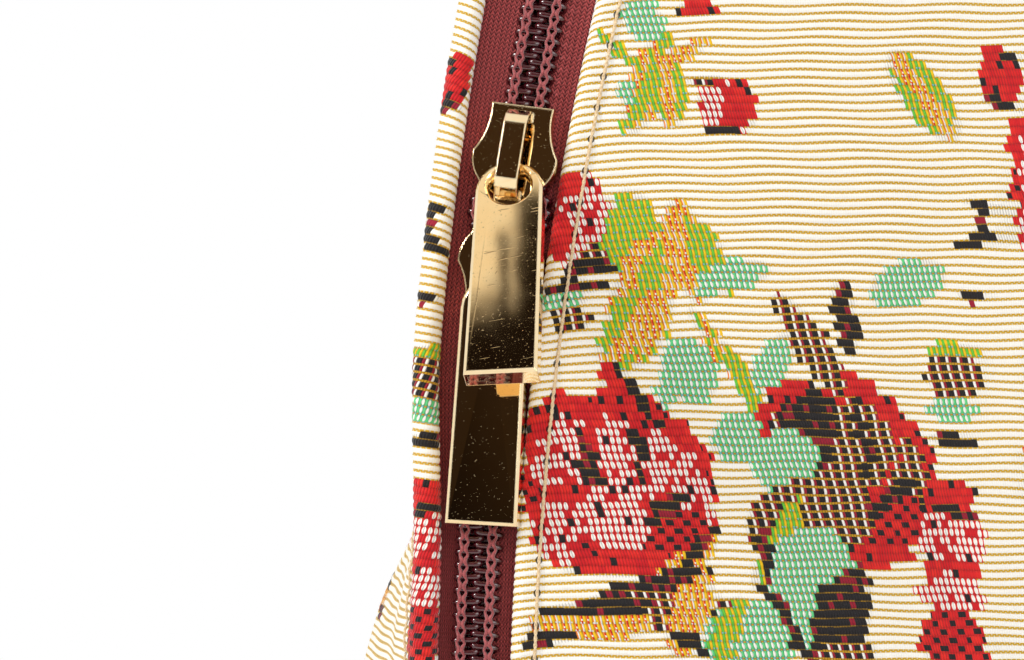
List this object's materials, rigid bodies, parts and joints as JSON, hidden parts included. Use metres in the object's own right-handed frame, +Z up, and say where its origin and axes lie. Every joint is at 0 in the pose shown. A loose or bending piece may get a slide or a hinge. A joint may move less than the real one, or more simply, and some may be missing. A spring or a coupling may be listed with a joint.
{
  "type": "tapestry carpet bag",
  "caption": "Arched cloth holdall with a rolled hem, coil zip with two head-to-head sliders and bar pulls, flat base and two rolled handles.",
  "frame": {"origin": "middle of the base's underside, below the middle of the bag", "axes": "+Z up, X along the bag's length, the front panel faces -Y"},
  "size_m": [0.4593, 0.187, 0.4268],
  "materials": {
    "tapestry": "ribbed jacquard cloth, cream weft ribs with gold rows and woven roses",
    "board": "dark stiffening board",
    "zip_tape": "maroon woven tape",
    "zip_coil": "dark maroon nylon coil",
    "pale_gold": "polished pale gold plating",
    "handle": "maroon grained leathercloth"
  },
  "bodies": {
    "root": {"front_panel": "tapestry", "back_panel": "tapestry", "base_panel": "tapestry", "base_board": "board", "zip_tape_front": "zip_tape", "zip_tape_back": "zip_tape", "zip_coil_front": "zip_coil", "zip_coil_back": "zip_coil", "zip_end_tab_left": "tapestry", "zip_end_tab_right": "tapestry", "front_handle": "handle", "back_handle": "handle", "front_patch_left": "handle", "front_patch_right": "handle", "back_patch_left": "handle", "back_patch_right": "handle"},
    "upper_slider": {"slider_upper": "pale_gold"},
    "lower_slider": {"slider_lower": "pale_gold"},
    "upper_pull": {"pull_upper": "pale_gold"},
    "lower_pull": {"pull_lower": "pale_gold"}
  },
  "joints": [
    {"name": "upper_slider_run", "type": "hinge", "parent": "root", "child": "upper_slider", "pos_m": [0.08, 0, 0.09], "axis": [0, 1, 0], "range_deg": [0, 14], "deforming": ["zip_coil_front", "zip_coil_back"]},
    {"name": "lower_slider_run", "type": "hinge", "parent": "root", "child": "lower_slider", "pos_m": [0.08, 0, 0.09], "axis": [0, 1, 0], "range_deg": [-15, 0], "deforming": ["zip_coil_front", "zip_coil_back"]},
    {"name": "upper_pull_turn", "type": "hinge", "parent": "upper_slider", "child": "upper_pull", "pos_m": [-0.21561, -0.00225, 0.1609], "axis": [-0.522, 0.8515, -0.0493], "range_deg": [0, 106]},
    {"name": "lower_pull_turn", "type": "hinge", "parent": "lower_slider", "child": "lower_pull", "pos_m": [-0.21834, -0.00225, 0.14797], "axis": [-0.4993, 0.8652, 0.0461], "range_deg": [0, 25]}
  ]
}
